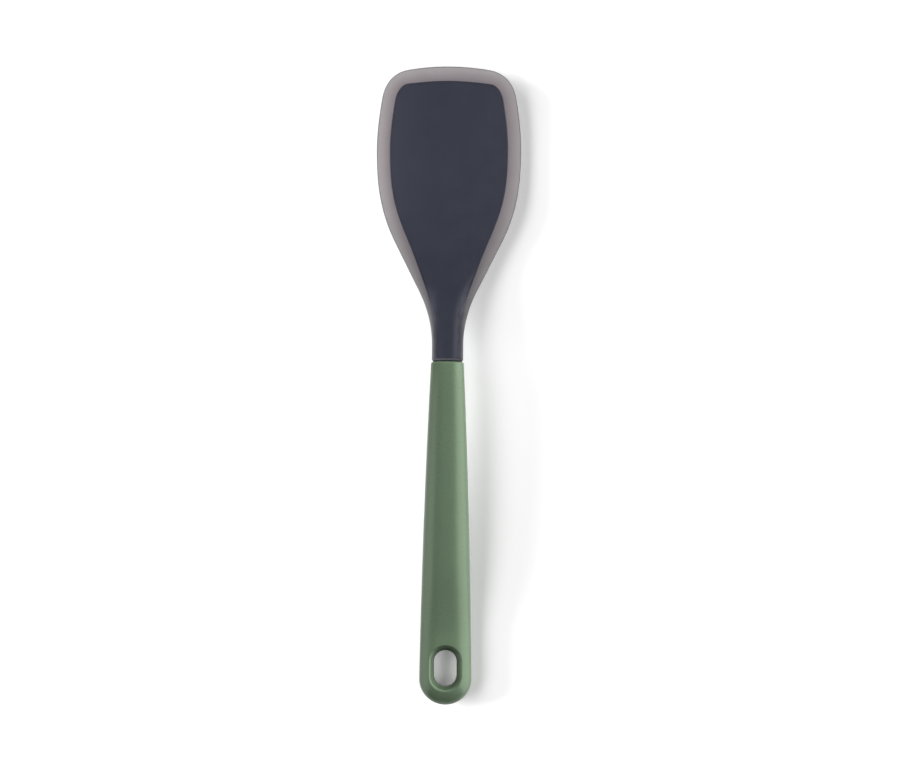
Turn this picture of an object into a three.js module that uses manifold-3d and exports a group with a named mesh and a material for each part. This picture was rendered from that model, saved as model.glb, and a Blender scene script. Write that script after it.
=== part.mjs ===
// A kitchen spatula: a translucent silicone head moulded over a stiff blade core, whose tang is
// locked between two hollow half shells inside a soft-touch handle with a hanging eye.
// Millimetres, +Z up. It lies face up on the plane z = 0, the handle towards -Y and the head
// towards +Y. The origin is at the middle of its length and width.
//
// Each piece is described in the spatula's own coordinates: x across, t along the spine from the
// butt of the handle, and n square to the spine. bend() turns these into the arched shape.
import * as THREE from 'three';
import { mergeVertices } from 'three/addons/utils/BufferGeometryUtils.js';
import Module from 'manifold-3d';

const { clamp, lerp, smoothstep } = THREE.MathUtils;
const wasm = await Module();
wasm.setup();

// Handle, outside
const HANDLE_LENGTH = 171.6;
const HANDLE_WIDTH = 26.2;
const HANDLE_FRONT_WIDTH = 16.4;
const HANDLE_FIRST_TAPER = 0.0148; // half width lost per millimetre just in front of the round butt
const BUTT_THICKNESS = 12.4;
const PALM_THICKNESS = 15.6;
const PALM_AT = 70; // where the handle is thickest
const HANDLE_FRONT_THICKNESS = 12;
const BUTT_ROUNDING = 11; // how far the butt's top and bottom edges are rounded
const BUTT_FULLNESS = 1.7; // power of that rounding, where 2 is an ellipse
const FRONT_ROUNDING = 0.9;
const HANDLE_SQUARENESS = 2.6; // power of the oval section, where 2 is an ellipse

// Handle, inside
const GRIP_WALL = 2.2;
const SHELL_WALL = 1.5;
const PIECE_CLEARANCE = 0.2; // between pieces moulded or pressed together
const RIB_THICKNESS = 1.6;
const PEG_RADIUS = 1.7;
const PEG_CLEARANCE = 0.3;
const SOCKET_WALL = 1.4;
const SOCKET_DEPTH = 2.6; // below the split between the half shells
const LOCATOR_SETBACK = 16; // from the tang's tip, and from the eye

// Hanging eye
const EYE_WIDTH = 11.3;
const EYE_LENGTH = 18.1;
const EYE_FROM_BUTT = 18.4; // to the eye's middle
const EYE_LIP_WIDTH = 1.5; // the grip's slope down to the liner
const EYE_LIP_DEPTH = 1.7;
const LINER_WALL = 1.3;
const LINER_ROUNDING = 0.8;
const EYE_BOSS_WALL = 1.2; // the half shells' wall round the liner

// Joint between head and handle
const FLANGE_WIDTH = 0.4;
const FLANGE_INSET = 0.6; // below the neck's surface
const SPIGOT_LENGTH = 12;
const TANG_LENGTH = 68;
const TANG_WIDTH = 8;
const TANG_THICKNESS = 4;
const TANG_SQUARENESS = 5;
const TANG_HOLE_SETBACK = 16; // from the spigot to the first hole
const TANG_HOLE_SPACING = 30;

// Head outline, seen from above
const NECK_WIDTH = 15.7;
const NECK_LENGTH = 8.2;
const SHOULDER_LENGTH = 97.4; // from the neck to the widest place
const TIP_LENGTH = 42; // from the widest place to the tip
const HEAD_WIDTH = 72.3;
const FLANK_START_AT = 26.3; // the straight flank, measured from the neck
const FLANK_START_WIDTH = 28.7;
const FLANK_END_AT = 51.4;
const FLANK_END_WIDTH = 54;
const NECK_EASE = 9; // lengths of the curves' handles
const SHOULDER_EASE = 17;
const SIDE_EASE = 9;
const CORNER_EASE = 7.6;
const CORNER_FROM_TIP = 16; // where the round corner starts
const CORNER_WIDTH = 67.2;
const CORNER_LEAN = 0.17; // inward slope of the side there
const TIP_EDGE_WIDTH = 41;
const TIP_EDGE_CROWN = 1.8;

// Head section
const NECK_THICKNESS = 11.2;
const NECK_SKIN = 0.9;
const NECK_END_ROUNDING = 0.7;
const NECK_SQUARENESS = 2.4;
const HEAD_THICKNESS = 3.8;
const CORE_PLATE_THICKNESS = 1.6;
const LIP_WIDTH = 6.3; // silicone beyond the core
const TIP_LIP_EXTRA = 0.8;
const LIP_EDGE_THICKNESS = 1.1;
const LIP_START = 4; // from the neck, where the lip begins to widen
const LIP_GROWTH = 56;
const LIP_EASE = 1.5; // power by which it starts slowly
const FLATTEN_START = 14.4; // from the neck, where its oval section begins to flatten
const FLATTEN_LENGTH = 41;
const DISH_START = 24.4; // from the neck, where the blade begins to dish
const DISH_GROWTH = 50;
const DISH_DEPTH = 4.6; // at the widest place

// Height of the spine above the table
const HEEL_LENGTH = 33; // level stretch at the butt, past the eye
const HEEL_CUT = 0.3; // depth of the flat under the butt
const ARCH_MIDDLE_AT = 82;
const ARCH_MIDDLE_HEIGHT = 10.4;
const ARCH_SETBACK = 10; // highest place, behind the handle's front
const ARCH_HEIGHT = 14.3;
const NECK_HEIGHT = 13.6;
const FLANK_HEIGHT = 5.8; // near the flank's end
const LOW_FROM_TIP = 45;
const TIP_RISE = 3.3;

// Fineness: sides of round sections, and steps along curves
const GRIP_SIDES = 32;
const INNER_SIDES = 16;
const PEG_SIDES = 10;
const EYE_ARC_STEPS = 10;
const BUTT_STEPS = 7;
const BODY_STEPS = 12;
const ROUNDING_STEPS = 4;
const TANG_STEPS = 6;
const FACE_STEPS = 4;
const NECK_STEPS = 5;
const FLARE_STEPS = 4;
const FLANK_STEPS = 3;
const SHOULDER_STEPS = 6;
const SIDE_STEPS = 3;
const CORNER_STEPS = 6;
const TIP_STEPS = 4;
const LIP_ROWS = [0, 0.04, 0.12, 0.45, 1]; // shares of the lip's width, from its edge
const CORE_EDGE_ROWS = [0, 0.25, 1]; // shares of the core's edge radius
const MERGE_DISTANCE = 1e-4;

// Places along the spine
const FLANGE_BACK = HANDLE_LENGTH + PIECE_CLEARANCE;
const FLANGE_FRONT = FLANGE_BACK + FLANGE_WIDTH;
const HEAD_START = FLANGE_FRONT + PIECE_CLEARANCE;
const NECK_END = HEAD_START + NECK_LENGTH;
const WIDEST = NECK_END + SHOULDER_LENGTH;
const TIP = WIDEST + TIP_LENGTH;
const SPIGOT_BACK = HANDLE_LENGTH - SPIGOT_LENGTH;
const TANG_BACK = SPIGOT_BACK - TANG_LENGTH;
const SHELL_FRONT = SPIGOT_BACK - PIECE_CLEARANCE;
const EYE_FRONT = EYE_FROM_BUTT + EYE_LENGTH / 2;

// A smooth curve through [place, value] points that never overshoots them.
function curveThrough(points) {
  const rise = [];
  for (let i = 0; i + 1 < points.length; i++) {
    rise.push((points[i + 1][1] - points[i][1]) / (points[i + 1][0] - points[i][0]));
  }
  const slopes = points.map((_, i) => {
    const before = rise[Math.max(i - 1, 0)];
    const after = rise[Math.min(i, rise.length - 1)];
    return before * after > 0 ? (2 * before * after) / (before + after) : 0;
  });
  return (place) => {
    let i = 0;
    while (i + 2 < points.length && place > points[i + 1][0]) i++;
    const span = points[i + 1][0] - points[i][0];
    const u = (place - points[i][0]) / span;
    const ease = u * u * (3 - 2 * u);
    const start = slopes[i] * u * (1 - u) * (1 - u);
    const end = slopes[i + 1] * u * u * (u - 1);
    return lerp(points[i][1], points[i + 1][1], ease) + span * (start + end);
  };
}

const spineHeight = curveThrough([
  [0, BUTT_THICKNESS / 2 - HEEL_CUT],
  [HEEL_LENGTH, BUTT_THICKNESS / 2 - HEEL_CUT],
  [ARCH_MIDDLE_AT, ARCH_MIDDLE_HEIGHT],
  [HANDLE_LENGTH - ARCH_SETBACK, ARCH_HEIGHT],
  [HEAD_START, NECK_HEIGHT],
  [NECK_END + FLANK_END_AT, FLANK_HEIGHT],
  [TIP - LOW_FROM_TIP, HEAD_THICKNESS / 2],
  [TIP, HEAD_THICKNESS / 2 + TIP_RISE],
]);

// The point x across, t along and n above the arched spine.
function bend(x, t, n) {
  const step = 0.01;
  const slope = Math.atan((spineHeight(t + step) - spineHeight(t - step)) / (2 * step));
  const y = t - TIP / 2 - n * Math.sin(slope);
  const z = spineHeight(t) + n * Math.cos(slope);
  return new THREE.Vector3(x, y, z);
}

// How far a surface is drawn in at a distance from the face that its round edge ends on.
function roundedEdge(distance, radius) {
  const depth = radius - clamp(distance, 0, radius);
  return radius - Math.sqrt(radius * radius - depth * depth);
}

// Height of an oval, as a share of its half thickness, at a share of its half width.
function ovalHeight(share, power) {
  return Math.pow(1 - Math.pow(Math.min(Math.abs(share), 1), power), 1 / power);
}

// A solid from a closed geometry, with its vertices merged and its faces pointing out.
function solidOf(geometry) {
  geometry.deleteAttribute('normal');
  geometry.deleteAttribute('uv');
  const merged = mergeVertices(geometry, MERGE_DISTANCE);
  const corners = merged.getIndex().array;
  const place = merged.getAttribute('position');
  const faces = [];
  let volume = 0;
  for (let i = 0; i < corners.length; i += 3) {
    const [a, b, c] = [corners[i], corners[i + 1], corners[i + 2]];
    if (a === b || b === c || c === a) continue;
    faces.push([a, b, c]);
    const [pa, pb, pc] = [a, b, c].map((k) => new THREE.Vector3().fromBufferAttribute(place, k));
    volume += pa.dot(pb.cross(pc));
  }
  if (volume < 0) faces.forEach((face) => face.reverse());
  const vertProperties = new Float32Array(place.array);
  const triVerts = new Uint32Array(faces.flat());
  return new wasm.Manifold(new wasm.Mesh({ numProp: 3, vertProperties, triVerts }));
}

// A solid skinned over rings of points. An end that isn't capped has closed on itself.
function loft(rings, capStart = true, capEnd = true) {
  const sides = rings[0].length;
  const points = rings.flat();
  const faces = [];
  for (let r = 0; r + 1 < rings.length; r++) {
    for (let k = 0; k < sides; k++) {
      const a = r * sides + k;
      const b = r * sides + ((k + 1) % sides);
      faces.push(a, b, b + sides, a, b + sides, a + sides);
    }
  }
  const cap = (ring, turned) => {
    const middle = points.length;
    const sum = ring.reduce((total, point) => total.add(point), new THREE.Vector3());
    points.push(sum.divideScalar(sides));
    const first = rings.indexOf(ring) * sides;
    for (let k = 0; k < sides; k++) {
      const pair = [first + k, first + ((k + 1) % sides)];
      if (turned) pair.reverse();
      faces.push(...pair, middle);
    }
  };
  if (capStart) cap(rings[0], true);
  if (capEnd) cap(rings[rings.length - 1], false);
  const geometry = new THREE.BufferGeometry().setFromPoints(points);
  geometry.setIndex(faces);
  return solidOf(geometry);
}

// A ring of points round an oval section at t.
function ovalRing(t, halfWidth, halfThickness, power, sides) {
  const ring = [];
  for (let k = 0; k < sides; k++) {
    const angle = (2 * Math.PI * k) / sides;
    const across = Math.sign(Math.cos(angle)) * Math.pow(Math.abs(Math.cos(angle)), 2 / power);
    const up = Math.sign(Math.sin(angle)) * Math.pow(Math.abs(Math.sin(angle)), 2 / power);
    ring.push(bend(halfWidth * across, t, halfThickness * up));
  }
  return ring;
}

// Evenly spread places from one to another.
function places(from, to, steps) {
  return Array.from({ length: steps + 1 }, (_, k) => from + ((to - from) * k) / steps);
}

// Handle

const palmHalf = curveThrough([
  [0, BUTT_THICKNESS / 2],
  [HEEL_LENGTH, BUTT_THICKNESS / 2],
  [PALM_AT, PALM_THICKNESS / 2],
  [HANDLE_LENGTH, HANDLE_FRONT_THICKNESS / 2],
]);

function handleHalfWidth(t, inset) {
  const butt = HANDLE_WIDTH / 2;
  if (t < butt) return Math.sqrt(Math.max((butt - inset) ** 2 - (butt - t) ** 2, 0));
  const length = HANDLE_LENGTH - butt;
  const along = t - butt;
  const bow = (butt - HANDLE_FRONT_WIDTH / 2 - HANDLE_FIRST_TAPER * length) / length ** 2;
  return butt - HANDLE_FIRST_TAPER * along - bow * along ** 2 - inset;
}

function handleHalfThickness(t, inset) {
  const full = palmHalf(t) - inset;
  if (t >= BUTT_ROUNDING) return full;
  const share = (BUTT_ROUNDING - t) / (BUTT_ROUNDING - inset);
  return full * ovalHeight(share, BUTT_FULLNESS);
}

// The handle's section at t, drawn in by inset from the grip's outside.
function handleRing(t, inset, sides) {
  const halfWidth = handleHalfWidth(t, inset);
  const halfThickness = handleHalfThickness(t, inset);
  return ovalRing(t, halfWidth, halfThickness, HANDLE_SQUARENESS, sides);
}

// Places along a handle surface that is drawn in by inset: close together round the butt.
function handlePlaces(inset, front) {
  const butt = HANDLE_WIDTH / 2;
  const firstTurn = 0.05;
  const turns = places(firstTurn, Math.PI / 2, BUTT_STEPS);
  const round = turns.map((turn) => butt - (butt - inset) * Math.cos(turn));
  return [...round, ...places(butt, front, BODY_STEPS).slice(1)];
}

function handleBody(inset, front) {
  return loft(handlePlaces(inset, front).map((t) => handleRing(t, inset, INNER_SIDES)));
}

// A stack of stadium rings round the eye, from [radius, n] pairs.
function eyeRings(profile) {
  const straight = (EYE_LENGTH - EYE_WIDTH) / 2;
  return profile.map(([radius, n]) => {
    const ring = [];
    for (const end of [0, 1]) {
      for (const turn of places(end * Math.PI, (end + 1) * Math.PI, EYE_ARC_STEPS)) {
        const middle = EYE_FROM_BUTT + (end ? -straight : straight);
        ring.push(bend(radius * Math.cos(turn), middle + radius * Math.sin(turn), n));
      }
    }
    return ring;
  });
}

const eyeTop = palmHalf(EYE_FROM_BUTT);
const linerHalfHeight = eyeTop - EYE_LIP_DEPTH;
const linerRadius = EYE_WIDTH / 2 + LINER_WALL;
const linerSeat = linerRadius + PIECE_CLEARANCE;
const shellInset = GRIP_WALL + PIECE_CLEARANCE;
const pastTop = 2;

function eyeTube(radius) {
  return loft(eyeRings([[radius, -eyeTop - pastTop], [radius, eyeTop + pastTop]]));
}

function makeGrip() {
  const roundStart = HANDLE_LENGTH - FRONT_ROUNDING;
  const frontTurns = places(0, Math.PI / 2, ROUNDING_STEPS).slice(1);
  const outside = [
    ...handlePlaces(0, roundStart).map((t) => handleRing(t, 0, GRIP_SIDES)),
    ...frontTurns.map((turn) => {
      const t = roundStart + FRONT_ROUNDING * Math.sin(turn);
      return handleRing(t, FRONT_ROUNDING * (1 - Math.cos(turn)), GRIP_SIDES);
    }),
  ];
  const lipTop = linerSeat + EYE_LIP_WIDTH;
  const eye = loft(eyeRings([
    [lipTop, -eyeTop - pastTop],
    [lipTop, -eyeTop],
    [linerSeat, -linerHalfHeight],
    [linerSeat, linerHalfHeight],
    [lipTop, eyeTop],
    [lipTop, eyeTop + pastTop],
  ]));
  const below = new THREE.BoxGeometry(2 * HANDLE_WIDTH, 2 * TIP, BUTT_THICKNESS);
  below.translate(0, 0, -BUTT_THICKNESS / 2);
  return loft(outside)
    .subtract(handleBody(GRIP_WALL, HANDLE_LENGTH + pastTop))
    .subtract(eye)
    .subtract(solidOf(below));
}

function makeLiner() {
  const hole = EYE_WIDTH / 2;
  const half = linerHalfHeight;
  const bends = places(0, Math.PI / 2, ROUNDING_STEPS);
  const rim = bends.map((turn) => [
    hole + LINER_ROUNDING * (1 - Math.sin(turn)),
    half - LINER_ROUNDING * (1 - Math.cos(turn)),
  ]);
  const upper = [[linerRadius, half], ...rim];
  const lower = upper.map(([radius, n]) => [radius, -n]).reverse();
  const rings = eyeRings([...upper, ...lower]);
  return loft([...rings, rings[0]], false, false);
}

// A broad slab across the spine through the given places, between two heights.
function slab(along, from, to) {
  const reach = HANDLE_WIDTH;
  const corners = [[-reach, from], [reach, from], [reach, to], [-reach, to]];
  return loft(along.map((t) => corners.map(([x, n]) => bend(x, t, n))));
}

// A round post square to the spine at t, between two heights.
function post(t, radius, from, to) {
  const foot = bend(0, t, from);
  const head = bend(0, t, to);
  const geometry = new THREE.CylinderGeometry(radius, radius, foot.distanceTo(head), PEG_SIDES);
  const up = new THREE.Vector3(0, 1, 0);
  const axis = head.clone().sub(foot).normalize();
  geometry.applyQuaternion(new THREE.Quaternion().setFromUnitVectors(up, axis));
  geometry.translate(...foot.add(head).multiplyScalar(0.5).toArray());
  return solidOf(geometry);
}

function tang(clearance) {
  const halfWidth = TANG_WIDTH / 2 + clearance;
  const halfThickness = TANG_THICKNESS / 2 + clearance;
  const along = places(TANG_BACK - clearance, SPIGOT_BACK + PIECE_CLEARANCE, TANG_STEPS);
  return loft(along.map((t) => ovalRing(t, halfWidth, halfThickness, TANG_SQUARENESS, INNER_SIDES)));
}

const tangHoles = [0, 1].map((k) => SPIGOT_BACK - TANG_HOLE_SETBACK - k * TANG_HOLE_SPACING);
const locators = [TANG_BACK - LOCATOR_SETBACK, EYE_FRONT + LOCATOR_SETBACK];

// One half shell: side is 1 for the upper one and -1 for the lower one.
function makeShell(side) {
  const inRoof = (t) => side * handleHalfThickness(t, shellInset + SHELL_WALL / 2);
  const split = (side * PIECE_CLEARANCE) / 2;
  const along = [0, ...places(HEEL_LENGTH, HANDLE_LENGTH, BODY_STEPS)];
  const ownSide = slab(along, split, side * HANDLE_WIDTH);

  let inside = loft(eyeRings([
    [linerSeat + EYE_BOSS_WALL, -eyeTop],
    [linerSeat + EYE_BOSS_WALL, eyeTop],
  ]));
  const ribPlaces = [...tangHoles, TANG_BACK, ...locators].map((t) => t - 2 * PEG_RADIUS - SOCKET_WALL);
  for (const t of ribPlaces) {
    inside = inside.add(slab([t - RIB_THICKNESS / 2, t + RIB_THICKNESS / 2], -HANDLE_WIDTH, HANDLE_WIDTH));
  }
  if (side < 0) {
    for (const t of locators) {
      inside = inside.add(post(t, PEG_RADIUS + PEG_CLEARANCE + SOCKET_WALL, inRoof(t), PEG_RADIUS));
    }
  }
  const wallMiddle = handleBody(shellInset + SHELL_WALL / 2, SHELL_FRONT - pastTop);
  let shell = handleBody(shellInset, SHELL_FRONT)
    .subtract(handleBody(shellInset + SHELL_WALL, SHELL_FRONT + pastTop))
    .add(inside.intersect(wallMiddle))
    .subtract(eyeTube(linerSeat))
    .subtract(tang(PIECE_CLEARANCE))
    .intersect(ownSide);

  for (const t of tangHoles) {
    shell = shell.add(post(t, PEG_RADIUS, (side * PEG_CLEARANCE) / 2, inRoof(t)));
  }
  for (const t of locators) {
    const peg = post(t, PEG_RADIUS, -SOCKET_DEPTH, inRoof(t));
    const socket = post(t, PEG_RADIUS + PEG_CLEARANCE, -SOCKET_DEPTH - PEG_CLEARANCE, PEG_RADIUS);
    shell = side > 0 ? shell.add(peg) : shell.subtract(socket);
  }
  return shell;
}

// Head

// The right half of the head's outline from the neck's end to the tip, as points with inward normals.
function headOutline() {
  const at = (width, t) => new THREE.Vector2(width / 2, t);
  const along = (point, direction, length) => point.clone().addScaledVector(direction, length);
  const ahead = new THREE.Vector2(0, 1);
  const start = at(NECK_WIDTH, HEAD_START);
  const neck = at(NECK_WIDTH, NECK_END);
  const flankStart = at(FLANK_START_WIDTH, NECK_END + FLANK_START_AT);
  const flankEnd = at(FLANK_END_WIDTH, NECK_END + FLANK_END_AT);
  const flank = flankEnd.clone().sub(flankStart).normalize();
  const widest = at(HEAD_WIDTH, WIDEST);
  const corner = at(CORNER_WIDTH, TIP - CORNER_FROM_TIP);
  const lean = new THREE.Vector2(-CORNER_LEAN, 1).normalize();
  const tipEdge = at(TIP_EDGE_WIDTH, TIP - TIP_EDGE_CROWN);
  const tipControl = at(TIP_EDGE_WIDTH / 2, TIP);
  const outward = tipEdge.clone().sub(tipControl).normalize();
  const tip = at(0, TIP);

  const cubic = (a, b, c, d) => new THREE.CubicBezierCurve(a, b, c, d);
  const pieces = [
    [new THREE.LineCurve(start, neck), places(0, 1, NECK_STEPS).map((u) => u * u)],
    [cubic(neck, along(neck, ahead, NECK_EASE), along(flankStart, flank, -NECK_EASE), flankStart),
      places(0, 1, FLARE_STEPS)],
    [new THREE.LineCurve(flankStart, flankEnd), places(0, 1, FLANK_STEPS)],
    [cubic(flankEnd, along(flankEnd, flank, SHOULDER_EASE), along(widest, ahead, -SHOULDER_EASE), widest),
      places(0, 1, SHOULDER_STEPS)],
    [cubic(widest, along(widest, ahead, SIDE_EASE), along(corner, lean, -SIDE_EASE), corner),
      places(0, 1, SIDE_STEPS)],
    [cubic(corner, along(corner, lean, CORNER_EASE), along(tipEdge, outward, CORNER_EASE), tipEdge),
      places(0, 1, CORNER_STEPS)],
    [new THREE.QuadraticBezierCurve(tipEdge, tipControl, tip), places(0, 1, TIP_STEPS)],
  ];
  const stations = pieces.flatMap(([curve, shares], index) => {
    const own = index ? shares.slice(1) : shares;
    return own.map((u) => {
      const point = curve.getPoint(u);
      const tangent = curve.getTangent(u);
      return { x: point.x, t: point.y, inX: -tangent.y, inT: tangent.x };
    });
  });
  stations[stations.length - 1] = { x: 0, t: TIP, inX: 0, inT: -1 };
  return stations;
}

const pastNeck = (t, start, length) => clamp((t - NECK_END - start) / length, 0, 1);
const neckShare = (t) => 1 - smoothstep(pastNeck(t, FLATTEN_START, FLATTEN_LENGTH), 0, 1);
const neckEndInset = (t) => roundedEdge(t - HEAD_START, NECK_END_ROUNDING);

// Width of the silicone beyond the core: it widens past the neck and once more at the tip.
function lipWidth(t) {
  const growth = 1 - (1 - pastNeck(t, LIP_START, LIP_GROWTH) ** LIP_EASE) ** 2;
  const atTip = smoothstep(t, TIP - 2 * TIP_EDGE_CROWN, TIP);
  return lerp(NECK_SKIN, LIP_WIDTH, growth) + TIP_LIP_EXTRA * atTip;
}

// How far the dished blade rises above the spine.
function dish(x, t) {
  const growth = smoothstep(pastNeck(t, DISH_START, DISH_GROWTH), 0, 1);
  return DISH_DEPTH * growth * (x / (HEAD_WIDTH / 2)) ** 2;
}

// The three blade-shaped bodies. Each has its inset from the outline, the rows of points that follow its
// edge (as distances from it), the half thickness of its flat part there, and of its oval neck.
const silicone = {
  inset: neckEndInset,
  rows: (t) => LIP_ROWS.map((share) => share * lipWidth(t)),
  flat: (t, distance) => {
    const edge = LIP_EDGE_THICKNESS / 2;
    const share = Math.min(Math.max(distance - edge, 0) / (lipWidth(t) - edge), 1);
    return edge - roundedEdge(distance, edge) + (HEAD_THICKNESS / 2 - edge) * share;
  },
  neck: (t) => lerp(HEAD_THICKNESS, NECK_THICKNESS, neckShare(t)) / 2 - neckEndInset(t),
};

function coreShape(clearance) {
  const edge = CORE_PLATE_THICKNESS / 2 + clearance;
  const neckThickness = NECK_THICKNESS - 2 * NECK_SKIN;
  return {
    inset: (t) => lipWidth(t) + neckEndInset(t) - clearance,
    rows: () => CORE_EDGE_ROWS.map((share) => share * edge),
    flat: (t, distance) => edge - roundedEdge(distance, edge),
    neck: (t) => lerp(CORE_PLATE_THICKNESS, neckThickness, neckShare(t)) / 2 - neckEndInset(t) + clearance,
  };
}

// A closed ring round a blade-shaped body at one station of the outline.
function bladeRing(station, body) {
  const inset = body.inset(station.t);
  const edgeX = station.x + station.inX * inset;
  const place = (x, t, distance) => {
    const share = edgeX > 0 ? x / edgeX : 1;
    const oval = body.neck(t) * ovalHeight(share, NECK_SQUARENESS);
    return { x, t, half: lerp(body.flat(t, distance), oval, neckShare(t)) };
  };
  const right = body.rows(station.t).map((distance) => {
    const reach = inset + distance;
    return place(station.x + station.inX * reach, station.t + station.inT * reach, distance);
  });
  const inner = right[right.length - 1];
  const face = places(1, -1, FACE_STEPS).slice(1, -1).map((share) => {
    return place(share * inner.x, inner.t, inset + NECK_WIDTH);
  });
  const left = right.map(({ x, t, half }) => ({ x: -x, t, half })).reverse();
  const across = [...right, ...face, ...left];
  const top = across.map(({ x, t, half }) => bend(x, t, dish(x, t) + half));
  const bottom = across.slice(1, -1).map(({ x, t, half }) => bend(x, t, dish(x, t) - half));
  return [...top, ...bottom.reverse()];
}

const outline = headOutline();

function makeSilicone() {
  const core = coreShape(PIECE_CLEARANCE);
  const mouth = { ...outline[0], t: HEAD_START - PIECE_CLEARANCE };
  const pocket = loft([mouth, ...outline].map((station) => bladeRing(station, core)), true, false);
  return loft(outline.map((station) => bladeRing(station, silicone)), true, false).subtract(pocket);
}

function makeCore() {
  const shape = coreShape(0);
  const root = { ...outline[0], t: FLANGE_BACK + FLANGE_WIDTH / 2 };
  const blade = loft([root, ...outline].map((station) => bladeRing(station, shape)), true, false);
  const halfWidth = NECK_WIDTH / 2 - FLANGE_INSET;
  const halfThickness = NECK_THICKNESS / 2 - FLANGE_INSET;
  const flange = loft([FLANGE_BACK, FLANGE_FRONT].map((t) => (
    ovalRing(t, halfWidth, halfThickness, NECK_SQUARENESS, GRIP_SIDES))));
  const along = places(SPIGOT_BACK, FLANGE_BACK + FLANGE_WIDTH / 2, 2);
  const spigot = loft(along.map((t) => handleRing(t, shellInset, INNER_SIDES)));
  let core = blade.add(flange).add(spigot).add(tang(0));
  const through = TANG_THICKNESS;
  for (const t of tangHoles) core = core.subtract(post(t, PEG_RADIUS + PEG_CLEARANCE, -through, through));
  return core;
}

function piece(name, solid, color, roughness, opacity = 1) {
  const { vertProperties, triVerts } = solid.getMesh();
  const geometry = new THREE.BufferGeometry();
  geometry.setAttribute('position', new THREE.BufferAttribute(vertProperties, 3));
  geometry.setIndex(new THREE.BufferAttribute(triVerts, 1));
  geometry.computeVertexNormals();
  const material = new THREE.MeshStandardMaterial({ color, roughness, metalness: 0 });
  material.opacity = opacity;
  material.transparent = opacity < 1;
  const mesh = new THREE.Mesh(geometry, material);
  mesh.name = name;
  return mesh;
}

const SILICONE_GREY = 0xb3acaf;
const CORE_GREY = 0x2a2c37;
const GRIP_GREEN = 0x5d6f59;
const LINER_GREEN = 0x4b5b48;
const SHELL_GREY = 0x6a6d66;

const spatula = new THREE.Group();
spatula.add(
  piece('silicone_head', makeSilicone(), SILICONE_GREY, 0.45, 0.75),
  piece('blade_core', makeCore(), CORE_GREY, 0.35),
  piece('handle_grip', makeGrip(), GRIP_GREEN, 0.3),
  piece('eye_liner', makeLiner(), LINER_GREEN, 0.4),
  piece('handle_core_upper', makeShell(1), SHELL_GREY, 0.6),
  piece('handle_core_lower', makeShell(-1), SHELL_GREY, 0.6),
);

export default spatula;
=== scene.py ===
# The looks of a kitchen spatula: fine surfaces over its solids, their finishes, light, floor and camera.
import math

import bmesh
import bpy
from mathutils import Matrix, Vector


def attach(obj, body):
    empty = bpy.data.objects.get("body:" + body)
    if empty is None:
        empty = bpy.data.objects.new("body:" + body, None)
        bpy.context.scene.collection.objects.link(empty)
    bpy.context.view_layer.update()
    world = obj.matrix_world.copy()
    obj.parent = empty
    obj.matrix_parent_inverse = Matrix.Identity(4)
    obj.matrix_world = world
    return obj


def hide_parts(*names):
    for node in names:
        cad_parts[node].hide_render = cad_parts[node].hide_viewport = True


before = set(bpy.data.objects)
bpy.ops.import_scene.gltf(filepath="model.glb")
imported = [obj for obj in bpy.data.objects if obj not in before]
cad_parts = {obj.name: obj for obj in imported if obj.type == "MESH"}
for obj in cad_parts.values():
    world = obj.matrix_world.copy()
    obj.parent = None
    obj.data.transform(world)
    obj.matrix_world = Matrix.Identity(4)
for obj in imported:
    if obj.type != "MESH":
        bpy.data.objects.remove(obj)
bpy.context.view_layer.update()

# Shapes are worked out in millimetres, as x across, t along the spine from the butt of the handle and
# n square to the spine. bend() turns them into points in metres, where the solids are.
MM = 0.001

# Handle
HANDLE_LENGTH = 171.6
HANDLE_WIDTH = 26.2
HANDLE_FRONT_WIDTH = 16.4
HANDLE_FIRST_TAPER = 0.0148  # half width lost per millimetre just in front of the round butt
BUTT_THICKNESS = 12.4
PALM_THICKNESS = 15.6
PALM_AT = 70  # from the butt
HANDLE_FRONT_THICKNESS = 12
BUTT_ROUNDING = 11
BUTT_FULLNESS = 1.7  # power of that rounding, where 2 is an ellipse
FRONT_ROUNDING = 0.9
HANDLE_SQUARENESS = 2.6  # power of the oval section, where 2 is an ellipse
GRIP_WALL = 2.2
PIECE_CLEARANCE = 0.2

# Hanging eye
EYE_WIDTH = 11.3
EYE_LENGTH = 18.1
EYE_FROM_BUTT = 18.4  # to the middle of the eye
EYE_LIP_WIDTH = 1.35  # the grip's slope down to the liner
EYE_LIP_DEPTH = 1.7
EYE_LIP_ROUNDING = 0.6  # share of the slope that its round top edge takes
EYE_EDGE_ROUNDING = 0.08
LINER_WALL = 1.3
LINER_ROUNDING = 2.6

# Joint between head and handle
FLANGE_WIDTH = 0.4
FLANGE_INSET = 0.6
SPIGOT_LENGTH = 12
TANG_LENGTH = 68
TANG_WIDTH = 8
TANG_THICKNESS = 4
TANG_SQUARENESS = 5
TANG_HOLES = 2
TANG_HOLE_SETBACK = 16
TANG_HOLE_SPACING = 30
TANG_HOLE_RADIUS = 2

# Head outline
NECK_WIDTH = 15.7
NECK_LENGTH = 8.2
SHOULDER_LENGTH = 97.4
TIP_LENGTH = 42
HEAD_WIDTH = 72.3
FLANK_START_AT = 26.3
FLANK_START_WIDTH = 28.7
FLANK_END_AT = 51.4
FLANK_END_WIDTH = 54
NECK_EASE = 9  # lengths of the curves' handles
SHOULDER_EASE = 17
SIDE_EASE = 9
CORNER_EASE = 7.6
CORNER_FROM_TIP = 16
CORNER_WIDTH = 67.2
CORNER_LEAN = 0.17
TIP_EDGE_WIDTH = 41
TIP_EDGE_CROWN = 1.8

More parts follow.
